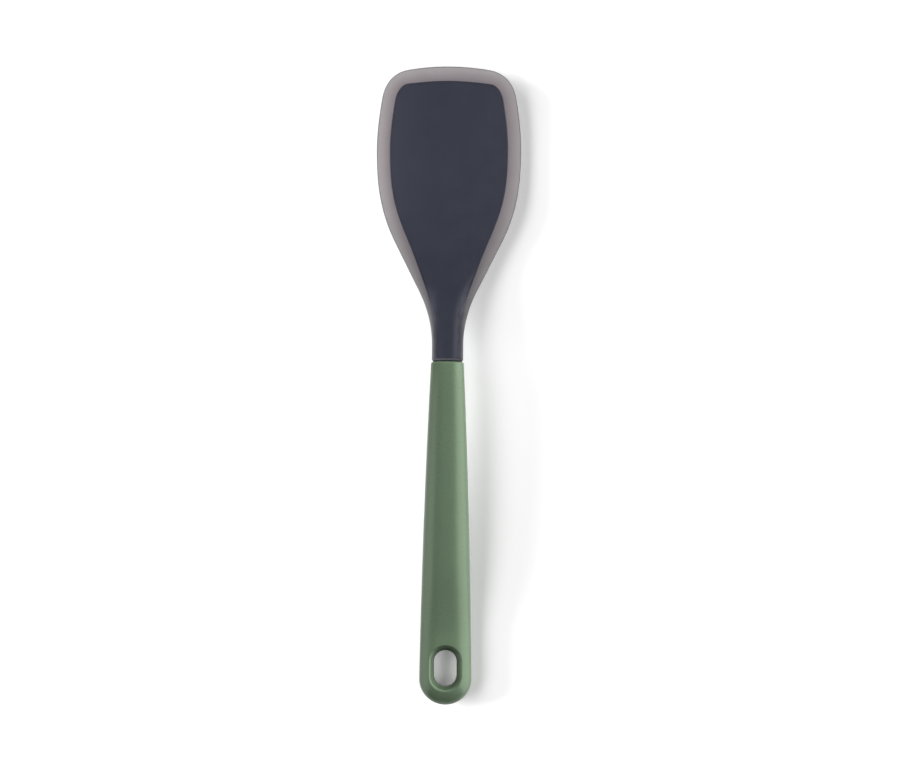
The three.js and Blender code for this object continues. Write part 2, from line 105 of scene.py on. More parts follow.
# Head section
NECK_THICKNESS = 11.2
NECK_SKIN = 0.9
NECK_END_ROUNDING = 0.7
# The neck's round end shows as a band of lighter silicone: milky silicone seen edge-on, and partly a
# painted highlight.
NECK_END_BAND = 0.4  # of lighter silicone
NECK_SQUARENESS = 2.4
HEAD_THICKNESS = 3.8
CORE_PLATE_THICKNESS = 1.6
LIP_WIDTH = 6.3
TIP_LIP_EXTRA = 0.8
LIP_EDGE_THICKNESS = 1.1
LIP_SWELL = 1.6  # power by which the lip thickens from its edge to the core
LIP_START = 4
LIP_GROWTH = 56
LIP_EASE = 1.5
FLATTEN_START = 14.4
FLATTEN_LENGTH = 41
DISH_START = 24.4
DISH_GROWTH = 50
DISH_DEPTH = 4.6
SLEEVE_START = 8  # from the neck, where the sleeve begins to open into the blade
SLEEVE_FADE = 75  # length of its opening
BOND = 0.03  # how far a moulded surface lies inside what it is moulded onto
HAIRLINE = 0.05  # gap between pieces that touch in the real thing

# Height of the spine above the table
HEEL_LENGTH = 33
HEEL_CUT = 0.3
ARCH_MIDDLE_AT = 82
ARCH_MIDDLE_HEIGHT = 10.4
ARCH_SETBACK = 10
ARCH_HEIGHT = 14.3
NECK_HEIGHT = 13.6
FLANK_HEIGHT = 5.8
LOW_FROM_TIP = 45
TIP_RISE = 3.3

# Fineness: steps along curves and across faces
SECTION_STEPS = 64  # over one face of the handle
EYE_SIDE_STEPS = 24
EYE_BUTT_STEPS = 56
EYE_ROWS = 40  # from the handle's side to the lip of the eye
EYE_LIP_ROWS = 14
INSIDE_ROWS = 8
BODY_STEPS = 150
INSIDE_STEPS = 30
ROUNDING_STEPS = 8
TANG_STEPS = 12
NECK_STEPS = 18
FLARE_STEPS = 20
FLANK_STEPS = 12
SHOULDER_STEPS = 30
SIDE_STEPS = 14
CORNER_STEPS = 28
TIP_STEPS = 16
FACE_STEPS = 40
LIP_STEPS = 18
SLOPE_STEP = 0.01  # millimetres along the spine over which its slope is measured
HEADING_STEP = 1e-4  # share of a curve over which its heading is measured
MERGE_DISTANCE = 1e-7  # metres

# Places along the spine
FLANGE_BACK = HANDLE_LENGTH + PIECE_CLEARANCE
FLANGE_FRONT = FLANGE_BACK + FLANGE_WIDTH
GRIP_FRONT = HANDLE_LENGTH
HEAD_START = FLANGE_FRONT + HAIRLINE
NECK_END = FLANGE_FRONT + PIECE_CLEARANCE + NECK_LENGTH
WIDEST = NECK_END + SHOULDER_LENGTH
TIP = WIDEST + TIP_LENGTH
SPIGOT_BACK = HANDLE_LENGTH - SPIGOT_LENGTH
TANG_BACK = SPIGOT_BACK - TANG_LENGTH
EYE_SHEET_FRONT = 42  # the handle's surface is laid out round the eye up to here


# Curves

def lerp(start, end, share):
    return start + (end - start) * share


def clamp(value, low=0.0, high=1.0):
    return min(max(value, low), high)


def smooth(share):
    share = clamp(share)
    return share * share * (3 - 2 * share)


def spread(start, end, steps):
    """Evenly spread values from start to end."""
    return [lerp(start, end, k / steps) for k in range(steps + 1)]


def curve_through(points):
    """A smooth function through (place, value) points that never overshoots them."""
    rises = [(b[1] - a[1]) / (b[0] - a[0]) for a, b in zip(points, points[1:])]
    slopes = []
    for i in range(len(points)):
        before = rises[max(i - 1, 0)]
        after = rises[min(i, len(rises) - 1)]
        slopes.append(2 * before * after / (before + after) if before * after > 0 else 0.0)

    def value(place):
        i = 0
        while i + 2 < len(points) and place > points[i + 1][0]:
            i += 1
        (start, low), (end, high) = points[i], points[i + 1]
        u = (place - start) / (end - start)
        lean = slopes[i] * u * (1 - u) ** 2 + slopes[i + 1] * u * u * (u - 1)
        return lerp(low, high, u * u * (3 - 2 * u)) + (end - start) * lean

    return value


spine_height = curve_through([
    (0, BUTT_THICKNESS / 2 - HEEL_CUT),
    (HEEL_LENGTH, BUTT_THICKNESS / 2 - HEEL_CUT),
    (ARCH_MIDDLE_AT, ARCH_MIDDLE_HEIGHT),
    (HANDLE_LENGTH - ARCH_SETBACK, ARCH_HEIGHT),
    (HEAD_START, NECK_HEIGHT),
    (NECK_END + FLANK_END_AT, FLANK_HEIGHT),
    (TIP - LOW_FROM_TIP, HEAD_THICKNESS / 2),
    (TIP, HEAD_THICKNESS / 2 + TIP_RISE),
])


def bend(x, t, n):
    """The point x across, t along and n above the arched spine, no lower than the table."""
    rise = spine_height(t + SLOPE_STEP) - spine_height(t - SLOPE_STEP)
    slope = math.atan(rise / (2 * SLOPE_STEP))
    y = t - TIP / 2 - n * math.sin(slope)
    z = spine_height(t) + n * math.cos(slope)
    return Vector((x, y, max(z, 0.0))) * MM


def rounded_edge(distance, radius):
    """How far a surface is drawn in at a distance from the face that its round edge ends on."""
    depth = radius - clamp(distance, 0.0, radius)
    return radius - math.sqrt(radius * radius - depth * depth)


def oval_height(share, power):
    """Height of an oval, as a share of its half thickness, at a share of its half width."""
    return (1 - min(abs(share), 1.0) ** power) ** (1 / power)


# Meshes

class Skin:
    """Points and quads of one piece, gathered from grids of points."""

    def __init__(self):
        self.points = []
        self.faces = []

    def add(self, rows, around=False):
        """Quads between rows of points. around joins the ends of each row."""
        first = len(self.points)
        across = len(rows[0])
        for row in rows:
            self.points.extend(row)
        for r in range(len(rows) - 1):
            for k in range(across if around else across - 1):
                a = first + r * across + k
                b = first + r * across + (k + 1) % across
                self.faces.append((a, b, b + across, a + across))

    def cap(self, row):
        """One face over a closed row of points."""
        first = len(self.points)
        self.points.extend(row)
        self.faces.append(tuple(range(first, first + len(row))))


def make_mesh(name, skin, **attributes):
    """A closed, smooth mesh from a skin. An attribute has one value for each point."""
    mesh = bpy.data.meshes.new(name)
    mesh.from_pydata(skin.points, [], skin.faces)
    for attribute, values in attributes.items():
        mesh.attributes.new(attribute, "FLOAT", "POINT").data.foreach_set("value", values)
    shape = bmesh.new()
    shape.from_mesh(mesh)
    bmesh.ops.remove_doubles(shape, verts=shape.verts, dist=MERGE_DISTANCE)
    bmesh.ops.recalc_face_normals(shape, faces=shape.faces)
    shape.to_mesh(mesh)
    shape.free()
    mesh.shade_smooth()
    return mesh


def make_piece(name, mesh, node, material):
    """Shows a mesh in place of a solid."""
    mesh.materials.append(material)
    piece = bpy.data.objects.new(name, mesh)
    bpy.context.scene.collection.objects.link(piece)
    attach(piece, "root")
    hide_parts(node)
    return piece


# Handle

palm_half = curve_through([
    (0, BUTT_THICKNESS / 2),
    (HEEL_LENGTH, BUTT_THICKNESS / 2),
    (PALM_AT, PALM_THICKNESS / 2),
    (HANDLE_LENGTH, HANDLE_FRONT_THICKNESS / 2),
])
BUTT_RADIUS = HANDLE_WIDTH / 2


def handle_half_width(t, inset):
    """Half width inside the handle's outline by an inset: a round butt, then a bowed taper."""
    if t < BUTT_RADIUS:
        return math.sqrt(max((BUTT_RADIUS - inset) ** 2 - (BUTT_RADIUS - t) ** 2, 0.0))
    length = HANDLE_LENGTH - BUTT_RADIUS
    along = t - BUTT_RADIUS
    bow = (BUTT_RADIUS - HANDLE_FRONT_WIDTH / 2 - HANDLE_FIRST_TAPER * length) / length ** 2
    return BUTT_RADIUS - HANDLE_FIRST_TAPER * along - bow * along ** 2 - inset


def handle_half_thickness(t, inset):
    """Half thickness along the handle's middle, inside its surface by an inset."""
    full = palm_half(t) - inset
    if t >= BUTT_ROUNDING:
        return full
    share = (BUTT_ROUNDING - t) / (BUTT_ROUNDING - inset)
    return full * oval_height(share, BUTT_FULLNESS)


def handle_height(x, t, inset):
    """Height of the handle's surface above the spine at a place seen from above."""
    half_width = handle_half_width(t, inset)
    share = abs(x) / half_width if half_width > 0 else 1.0
    return handle_half_thickness(t, inset) * oval_height(share, HANDLE_SQUARENESS)


def section_shares():
    """Shares of the half width from the right over the top to the left, close together at the sides."""
    turns = spread(0, math.pi, SECTION_STEPS)
    return [math.copysign(abs(math.cos(turn)) ** (2 / HANDLE_SQUARENESS), math.cos(turn)) for turn in turns]


def oval_ring(t, half_width, half_thickness, power, shares):
    """A closed ring over the top and back underneath, at the given shares of the half width."""
    top = [bend(half_width * s, t, half_thickness * oval_height(s, power)) for s in shares]
    under = [bend(half_width * s, t, -half_thickness * oval_height(s, power)) for s in shares[1:-1]]
    return top + under[::-1]


def handle_ring(t, inset, shares):
    half_width = handle_half_width(t, inset)
    half_thickness = handle_half_thickness(t, inset)
    return oval_ring(t, half_width, half_thickness, HANDLE_SQUARENESS, shares)


EYE_STRAIGHT = (EYE_LENGTH - EYE_WIDTH) / 2
EYE_FRONT_TURN = math.radians(35)  # where the rows round the eye turn from its front to its sides
LINER_RADIUS = EYE_WIDTH / 2 + LINER_WALL
LINER_SEAT = LINER_RADIUS + PIECE_CLEARANCE
LINER_HALF_HEIGHT = palm_half(EYE_FROM_BUTT) - EYE_LIP_DEPTH


def eye_loop(radius):
    """Places round the eye: across its front from right to left, then down, round and up its sides."""
    front = EYE_FROM_BUTT + EYE_STRAIGHT
    back = EYE_FROM_BUTT - EYE_STRAIGHT

    def arc(middle, turn):
        return radius * math.cos(turn), middle + radius * math.sin(turn)

    def left_side(share):
        bent = radius * EYE_FRONT_TURN
        gone = share * (bent + front - back)
        if gone < bent:
            return arc(front, math.pi - EYE_FRONT_TURN + gone / radius)
        return -radius, front - (gone - bent)

    ahead = [arc(front, turn) for turn in spread(EYE_FRONT_TURN, math.pi - EYE_FRONT_TURN, SECTION_STEPS)]
    left = [left_side(share) for share in spread(0, 1, EYE_SIDE_STEPS)]
    behind = [arc(back, turn) for turn in spread(math.pi, 2 * math.pi, EYE_BUTT_STEPS)]
    right = [(-x, t) for x, t in reversed(left)]
    return ahead + left[1:] + behind[1:] + right[1:-1]


def butt_loop(inset, shares):
    """The handle's outline round the butt, in step with eye_loop."""
    front = EYE_SHEET_FRONT
    ahead = [(handle_half_width(front, inset) * s, front) for s in shares]
    sides = spread(front, BUTT_RADIUS, EYE_SIDE_STEPS)
    left = [(-handle_half_width(t, inset), t) for t in sides]
    radius = BUTT_RADIUS - inset
    turns = spread(math.pi, 2 * math.pi, EYE_BUTT_STEPS)
    behind = [(radius * math.cos(turn), BUTT_RADIUS + radius * math.sin(turn)) for turn in turns]
    right = [(-x, t) for x, t in reversed(left)]
    return ahead + left[1:] + behind[1:] + right[1:-1]


def eye_sheet(inset, eye_radius, rows, shares):
    """Rows of (x, t, height) on the handle's surface, from its outline inwards to the eye."""
    sheet = []
    for share in spread(0, 1, rows):
        inwards = share ** HANDLE_SQUARENESS
        row = []
        for (outer_x, outer_t), (eye_x, eye_t) in zip(butt_loop(inset, shares), eye_loop(eye_radius)):
            x = lerp(outer_x, eye_x, inwards)
            t = lerp(outer_t, eye_t, inwards)
            on_outline = share == 0 and outer_t < EYE_SHEET_FRONT
            row.append((x, t, 0.0 if on_outline else handle_height(x, t, inset)))
        sheet.append(row)
    return sheet


def eye_lip():
    """Rows of (x, t, height) from the handle's surface down the slope to the liner."""
    steepest = 1 / (1 - EYE_LIP_ROUNDING / 2)
    rows = []
    for share in spread(0, 1, EYE_LIP_ROWS)[1:]:
        if share < EYE_LIP_ROUNDING:
            down = steepest * share ** 2 / (2 * EYE_LIP_ROUNDING)
        else:
            down = steepest * (share - EYE_LIP_ROUNDING / 2)
        places = eye_loop(LINER_SEAT + EYE_EDGE_ROUNDING + EYE_LIP_WIDTH * (1 - share))
        rows.append([(x, t, lerp(handle_height(x, t, 0), LINER_HALF_HEIGHT, down)) for x, t in places])
    for turn in spread(0, math.pi / 2, ROUNDING_STEPS // 2)[1:]:
        places = eye_loop(LINER_SEAT + EYE_EDGE_ROUNDING * (1 - math.sin(turn)))
        height = LINER_HALF_HEIGHT - EYE_EDGE_ROUNDING * (1 - math.cos(turn))
        rows.append([(x, t, height) for x, t in places])
    return rows


def make_grip(material):
    """The green skin: sheets round the eye above and below, and rings from there to the front."""
    shares = section_shares()
    skin = Skin()
    lip_top = LINER_SEAT + EYE_EDGE_ROUNDING + EYE_LIP_WIDTH
    outside = eye_sheet(0, lip_top, EYE_ROWS, shares)
    inside = eye_sheet(GRIP_WALL, LINER_SEAT, INSIDE_ROWS, shares)
    rows = outside + eye_lip() + inside[::-1]
    for side in (1, -1):
        skin.add([[bend(x, t, side * height) for x, t, height in row] for row in rows], around=True)

    round_start = GRIP_FRONT - FRONT_ROUNDING
    rings = [handle_ring(t, 0, shares) for t in spread(EYE_SHEET_FRONT, round_start, BODY_STEPS)]
    for turn in spread(0, math.pi / 2, ROUNDING_STEPS)[1:]:
        t = round_start + FRONT_ROUNDING * math.sin(turn)
        rings.append(handle_ring(t, FRONT_ROUNDING * (1 - math.cos(turn)), shares))
    for t in spread(GRIP_FRONT, EYE_SHEET_FRONT, INSIDE_STEPS):
        rings.append(handle_ring(t, GRIP_WALL, shares))
    skin.add(rings, around=True)
    return make_piece("grip_skin", make_mesh("grip_skin", skin), "handle_grip", material)


def make_eye_ring(material):
    """The liner: a ring whose rims roll down into the hole, swept round the eye."""
    hole = EYE_WIDTH / 2
    outside = LINER_SEAT + BOND
    start = math.asin(1 - (outside - hole) / LINER_ROUNDING)
    profile = []
    for turn in spread(start, math.pi / 2, ROUNDING_STEPS):
        radius = hole + LINER_ROUNDING * (1 - math.sin(turn))
        profile.append((radius, LINER_HALF_HEIGHT - LINER_ROUNDING * (math.cos(start) - math.cos(turn))))
    profile += [(radius, -height) for radius, height in reversed(profile)]
    rows = [[bend(x, t, height) for x, t in eye_loop(radius)] for radius, height in profile]
    skin = Skin()
    skin.add(rows + rows[:1], around=True)
    return make_piece("eye_ring", make_mesh("eye_ring", skin), "eye_liner", material)


# Head

def line(start, end):
    return lambda u: start.lerp(end, u)


def bezier(a, b, c, d):
    return lambda u: a * (1 - u) ** 3 + b * (3 * u * (1 - u) ** 2) + c * (3 * u * u * (1 - u)) + d * u ** 3


def eased(start, leaving, end, arriving, ease):
    """A curve between two points that leaves and arrives in the given directions."""
    return bezier(start, start + leaving * ease, end - arriving * ease, end)


def drawn_to(start, control, end):
    """A curve between two points that is drawn towards a third."""
    return bezier(start, start.lerp(control, 2 / 3), end.lerp(control, 2 / 3), end)


def head_outline():
    """The right half of the head's outline from the neck to the tip, as (x, t, inward x, inward t)."""
    ahead = Vector((0, 1))
    start = Vector((NECK_WIDTH / 2, HEAD_START))
    neck = Vector((NECK_WIDTH / 2, NECK_END))
    flank_start = Vector((FLANK_START_WIDTH / 2, NECK_END + FLANK_START_AT))
    flank_end = Vector((FLANK_END_WIDTH / 2, NECK_END + FLANK_END_AT))
    flank = (flank_end - flank_start).normalized()
    widest = Vector((HEAD_WIDTH / 2, WIDEST))
    corner = Vector((CORNER_WIDTH / 2, TIP - CORNER_FROM_TIP))
    lean = Vector((-CORNER_LEAN, 1)).normalized()
    tip_edge = Vector((TIP_EDGE_WIDTH / 2, TIP - TIP_EDGE_CROWN))
    tip_control = Vector((TIP_EDGE_WIDTH / 4, TIP))
    inward = (tip_control - tip_edge).normalized()
    tip = Vector((0, TIP))
    curves = [
        (line(start, neck), NECK_STEPS),
        (eased(neck, ahead, flank_start, flank, NECK_EASE), FLARE_STEPS),
        (line(flank_start, flank_end), FLANK_STEPS),
        (eased(flank_end, flank, widest, ahead, SHOULDER_EASE), SHOULDER_STEPS),
        (eased(widest, ahead, corner, lean, SIDE_EASE), SIDE_STEPS),
        (eased(corner, lean, tip_edge, inward, CORNER_EASE), CORNER_STEPS),
        (drawn_to(tip_edge, tip_control, tip), TIP_STEPS),
    ]
    stations = []
    for curve, steps in curves:
        shares = spread(0, 1, steps)
        if stations:
            shares = shares[1:]  # the curve before ends where this one starts
        else:
            shares = [share * share for share in shares]  # close together at the neck's round end
        for share in shares:
            after = curve(min(share + HEADING_STEP, 1))
            before = curve(max(share - HEADING_STEP, 0))
            heading = (after - before).normalized()
            point = curve(share)
            stations.append((point.x, point.y, -heading.y, heading.x))
    stations[-1] = (0.0, TIP, 0.0, -1.0)  # exactly on the middle line
    return stations


def past_neck(t, start, length):
    """Share of a length that begins a start past the neck."""
    return clamp((t - NECK_END - start) / length)


def neck_share(t):
    """1 where the section is the neck's oval, fading to 0 where it is the flat blade."""
    return 1 - smooth(past_neck(t, FLATTEN_START, FLATTEN_LENGTH))


def neck_end_inset(t):
    """How far the round end of the neck is drawn in."""
    return rounded_edge(t - HEAD_START, NECK_END_ROUNDING)


def lip_width(t):
    """Width of silicone between the outline and the core."""
    growth = 1 - (1 - past_neck(t, LIP_START, LIP_GROWTH) ** LIP_EASE) ** 2
    at_tip = smooth((t - TIP + 2 * TIP_EDGE_CROWN) / (2 * TIP_EDGE_CROWN))
    return lerp(NECK_SKIN, LIP_WIDTH, growth) + TIP_LIP_EXTRA * at_tip


def dish(x, t):
    """How far the blade curves up from the spine."""
    growth = smooth(past_neck(t, DISH_START, DISH_GROWTH))
    return DISH_DEPTH * growth * (x / (HEAD_WIDTH / 2)) ** 2


class Silicone:
    """The silicone's outside.

    inset() is how far its edge lies inside the outline, rows() the distances from that edge that get
    points, flat() the half thickness of the blade and neck() that of the neck's oval in its middle.
    """

    def inset(self, t):
        return neck_end_inset(t)

    def rows(self, t):
        return [lip_width(t) * share ** 2 for share in spread(0, 1, LIP_STEPS)]

    def flat(self, t, distance):
        edge = LIP_EDGE_THICKNESS / 2
        share = clamp((distance - edge) / (lip_width(t) - edge))
        swell = 1 - (1 - share) ** LIP_SWELL
        return edge - rounded_edge(distance, edge) + (HEAD_THICKNESS / 2 - edge) * swell

    def neck(self, t):
        return lerp(HEAD_THICKNESS, NECK_THICKNESS, neck_share(t)) / 2 - neck_end_inset(t)


class Core:
    """The core's outside, grown by a clearance, with the same functions as Silicone."""

    def __init__(self, clearance):
        self.clearance = clearance
        self.edge = CORE_PLATE_THICKNESS / 2 + clearance

    def inset(self, t):
        return lip_width(t) + neck_end_inset(t) - self.clearance

    def rows(self, t):
        turns = spread(0, math.pi / 2, LIP_STEPS)
        return [self.edge * (1 - math.cos(turn)) for turn in turns]

    def flat(self, t, distance):
        return self.edge - rounded_edge(distance, self.edge)

    def neck(self, t):
        neck_thickness = NECK_THICKNESS - 2 * NECK_SKIN
        half = lerp(CORE_PLATE_THICKNESS, neck_thickness, neck_share(t)) / 2
        return half - neck_end_inset(t) + self.clearance


def blade_section(station, body):
    """One (x, t, half thickness, distance from the edge) for each point across a blade, right to left."""
    x, t, in_x, in_t = station
    inset = body.inset(t)
    edge_x = x + in_x * inset

    def place(across, along, distance):
        share = across / edge_x if edge_x > 0 else 1.0
        oval = body.neck(along) * oval_height(share, NECK_SQUARENESS)
        return across, along, lerp(body.flat(along, distance), oval, neck_share(along)), distance

    right = []
    for distance in body.rows(t):
        reach = inset + distance
        right.append(place(x + in_x * reach, t + in_t * reach, distance))
    inner_x, inner_t = right[-1][:2]
    face = []
    for share in spread(1, -1, FACE_STEPS)[1:-1]:
        face.append(place(share * inner_x, inner_t, lip_width(t) + (1 - abs(share)) * inner_x))
    left = [(-x, t, half, distance) for x, t, half, distance in reversed(right)]
    return right + face + left


def blade_ring(station, body):
    section = blade_section(station, body)
    top = [bend(x, t, dish(x, t) + half) for x, t, half, _ in section]
    under = [bend(x, t, dish(x, t) - half) for x, t, half, _ in section[1:-1]]
    return top + under[::-1]


def lip_shares(station):
    """For each point of a silicone ring: 0 at the lip's edge, 1 at the core's edge, more over the core."""
    width = lip_width(station[1])
    # The neck's round end counts as an edge and gets the lighter tone: partly a painted highlight.
    from_end = (station[1] - HEAD_START) / NECK_END_BAND
    shares = [min(distance / width, from_end) for _, _, _, distance in blade_section(station, Silicone())]
    return shares + shares[1:-1][::-1]


def sleeve_share(t):
    """1 where the silicone is a sleeve round the neck, fading to 0 on the blade."""
    return 1 - smooth(past_neck(t, SLEEVE_START, SLEEVE_FADE))


def make_silicone(stations, material):
    """The sleeve: its outside from the tip back to the neck's end, then its inside on to the tip again."""
    outside = [blade_ring(station, Silicone()) for station in reversed(stations)]
    inside = [blade_ring(station, Core(-BOND)) for station in stations]
    skin = Skin()
    skin.add(outside + inside, around=True)
    shares = [share for station in reversed(stations) for share in lip_shares(station)]
    shares += [1.0] * (len(skin.points) - len(shares))
    ring_size = len(outside[0])
    along = [station[1] for station in reversed(stations)] + [station[1] for station in stations]
    sleeve = [sleeve_share(t) for t in along for _ in range(ring_size)]
    mesh = make_mesh("silicone_sleeve", skin, lip_share=shares, sleeve_share=sleeve)
    return make_piece("silicone_sleeve", mesh, "silicone_head", material)


def cut_peg_holes(mesh):
    """Round holes through the tang, for the pegs of the half shells."""
    core = bpy.data.objects.new("core_to_drill", mesh)
    bpy.context.scene.collection.objects.link(core)
    drills = []
    for k in range(TANG_HOLES):
        t = SPIGOT_BACK - TANG_HOLE_SETBACK - k * TANG_HOLE_SPACING
        axis = bend(0, t, TANG_THICKNESS) - bend(0, t, -TANG_THICKNESS)
        bpy.ops.mesh.primitive_cylinder_add(
            radius=TANG_HOLE_RADIUS * MM, depth=axis.length, location=bend(0, t, 0),
            rotation=axis.to_track_quat("Z", "Y").to_euler())
        drills.append(bpy.context.object)
        cut = core.modifiers.new("hole", "BOOLEAN")
        cut.operation = "DIFFERENCE"
        cut.object = drills[-1]
    drilled = bpy.data.meshes.new_from_object(core.evaluated_get(bpy.context.evaluated_depsgraph_get()))
    for scratch in drills + [core]:
        bpy.data.objects.remove(scratch)
    return drilled


def make_core(stations, material):
    """Tang, spigot, flange, neck and blade in one skin."""
    body = Core(0)
    root = (stations[0][0], FLANGE_FRONT, *stations[0][2:])
    section = blade_section(root, body)
    shares = [x / section[0][0] for x, _, _, _ in section]
    rings = []
    for t in spread(TANG_BACK, SPIGOT_BACK, TANG_STEPS):
        rings.append(oval_ring(t, TANG_WIDTH / 2, TANG_THICKNESS / 2, TANG_SQUARENESS, shares))
    for t in (SPIGOT_BACK, FLANGE_BACK):
        rings.append(handle_ring(t, GRIP_WALL + PIECE_CLEARANCE, shares))
    half_width = NECK_WIDTH / 2 - FLANGE_INSET
    half_thickness = NECK_THICKNESS / 2 - FLANGE_INSET
    for t in (FLANGE_BACK, FLANGE_FRONT):
        rings.append(oval_ring(t, half_width, half_thickness, NECK_SQUARENESS, shares))
    rings += [blade_ring(station, body) for station in [root] + stations]
    skin = Skin()
    skin.add(rings, around=True)
    skin.cap(rings[0])
    mesh = cut_peg_holes(make_mesh("core_blade", skin))
    return make_piece("core_blade", mesh, "blade_core", material)


# Finishes

# Colours are in linear light, and sizes of noise and depths of grain in millimetres.
NOISE_LOW = 0.3  # nearly all values of a noise lie between these two
NOISE_HIGH = 0.7


def grey(level):
    return (level,) * 3


def shade(colour, share):
    return tuple(channel * share for channel in colour)


GREEN = (0.108, 0.158, 0.099)
GREEN_REFLECTION = (0.85, 1.0, 0.82)
GREEN_SPECKLE = 0.03  # how far its tone and its roughness vary
GREEN_CLOUD = 0.96  # share of the tone in its darkest patches
GRIP_ROUGHNESS = 0.3
LINER_ROUGHNESS = 0.4
# The liner is the grip's green darkened to this share: painted shade of the recess round the eye.
LINER_PAINTED_SHADE = 0.5  # share of the grip's tone

# The silicone's tones, and how much they hide of what lies behind, by lip_share: see lip_shares()
LIP_TONES = [
    # Painted shade: these first two stops darken the very edge, standing in for the darkening that
    # refraction gives there.
    (0.0, grey(0.2)),  # a fine dark line along the edge
    (0.04, grey(0.22)),
    (0.09, (0.475, 0.443, 0.456)),
    (0.3, (0.45, 0.41, 0.426)),
    (1.0, (0.3, 0.258, 0.28)),
]
# Share 0 gives the lighter band at the neck's round end, partly a painted highlight.
NECK_TONES = [
    (0.0, (0.25, 0.242, 0.25)),
    (0.6, (0.17, 0.163, 0.17)),
    (1.0, (0.14, 0.135, 0.145)),
]
LIP_COVER = [
    (0.0, grey(0.92)),
    (0.12, grey(0.72)),
    (1.0, grey(0.78)),
]
NECK_COVER = 0.9
VEIL_TONE = (0.15, 0.16, 0.23)  # of the skin over the core
# More cover over the blade than over the neck is painted light: it makes the flat blade lighter than the
# neck.
BLADE_VEIL_COVER_PAINTED_LIGHT = 0.21
NECK_VEIL_COVER = 0.15
SILICONE_CLOUD = 0.95

NYLON_DARK = (0.0226, 0.0246, 0.0355)
NYLON_LIGHT = (0.0288, 0.0316, 0.0457)
SHELL_DARK = (0.13, 0.14, 0.12)
SHELL_LIGHT = (0.16, 0.17, 0.15)


class Nodes:
    """A tree of shader nodes, and helpers that add nodes to it."""

    def __init__(self, tree):
        self.tree = tree

    def feed(self, socket, value):
        """Links an input to a socket, or sets it to a number or a colour."""
        if isinstance(value, bpy.types.NodeSocket):
            self.tree.links.new(value, socket)
        elif isinstance(value, tuple):
            socket.default_value = (*value, 1.0)
        else:
            socket.default_value = value

    def add(self, kind, inputs=None, **settings):
        """A new node. Its inputs are given by name or by number."""
        node = self.tree.nodes.new("ShaderNode" + kind)
        for name, value in settings.items():
            setattr(node, name, value)
        for name, value in (inputs or {}).items():
            self.feed(node.inputs[name], value)
        return node

    def math(self, operation, first, second):
        return self.add("Math", {0: first, 1: second}, operation=operation).outputs["Value"]

    def between(self, value, low, high):
        """0 below low, 1 above high and smooth between them."""
        limits = {"Value": value, "From Min": low, "From Max": high}
        return self.add("MapRange", limits, interpolation_type="SMOOTHSTEP").outputs["Result"]

    def mix(self, factor, first, second, kind="RGBA", blend="MIX"):
        """A mix of two colours, or of two numbers where kind is FLOAT."""
        node = self.add("Mix", data_type=kind, blend_type=blend)
        for name, value in (("Factor", factor), ("A", first), ("B", second)):
            self.feed(next(s for s in node.inputs if s.name == name and s.enabled), value)
        return next(s for s in node.outputs if s.enabled)


class Finish(Nodes):
    """A material with one Principled shader."""

    def __init__(self, name):
        self.material = bpy.data.materials.new(name)
        self.material.use_nodes = True
        super().__init__(self.material.node_tree)
        self.shader = self.tree.nodes["Principled BSDF"]
        self.place = self.add("TexCoord").outputs["Object"]

    def give(self, **inputs):
        """Feeds the shader's inputs, with an underscore for each space in their names."""
        for name, value in inputs.items():
            self.feed(self.shader.inputs[name.replace("_", " ")], value)

    def attribute(self, name):
        return self.add("Attribute", attribute_name=name).outputs["Fac"]

    def noise(self, size, detail=2.0):
        """Soft noise whose blotches are about size millimetres wide."""
        inputs = {"Vector": self.place, "Scale": 1 / (size * MM), "Detail": detail}
        return self.add("TexNoise", inputs).outputs["Fac"]

    def ramp(self, factor, stops):
        """A colour ramp through (place, colour) stops."""
        node = self.add("ValToRGB", {"Fac": factor})
        elements = node.color_ramp.elements
        while len(elements) < len(stops):
            elements.new(stops[-1][0])
        for element, (place, colour) in zip(elements, stops):
            element.position = place
            element.color = (*colour, 1.0)
        return node.outputs["Color"]

    def tones(self, noise, dark, light):
        """A colour that varies with a noise."""
        return self.ramp(noise, [(NOISE_LOW, dark), (NOISE_HIGH, light)])

    def vary(self, noise, low, high):
        """A number that varies with a noise."""
        limits = {"From Min": NOISE_LOW, "From Max": NOISE_HIGH, "To Min": low, "To Max": high}
        return self.add("MapRange", {"Value": noise, **limits}).outputs["Result"]

    def clouded(self, colour, noise, darkest):
        """A colour with darker patches."""
        return self.mix(1.0, colour, self.tones(noise, grey(darkest), grey(1.0)), blend="MULTIPLY")

    def grain(self, noise, depth):
        """A normal for a grain of the given depth."""
        return self.add("Bump", {"Height": noise, "Distance": depth * MM}).outputs["Normal"]


def soft_green(name, colour, roughness):
    """Green soft-touch skin with a fine moulded grain."""
    finish = Finish(name)
    speckle = finish.noise(size=0.9, detail=4.0)
    tone = finish.ramp(speckle, [
        (0.35, shade(colour, 1 - GREEN_SPECKLE)),
        (0.65, shade(colour, 1 + GREEN_SPECKLE)),
    ])
    finish.give(
        Base_Color=finish.clouded(tone, finish.noise(size=14.0), GREEN_CLOUD),
        Roughness=finish.vary(speckle, roughness - GREEN_SPECKLE, roughness + GREEN_SPECKLE),
        Normal=finish.grain(finish.noise(size=0.35, detail=3.0), depth=0.005),
        Specular_Tint=GREEN_REFLECTION,
    )
    return finish.material


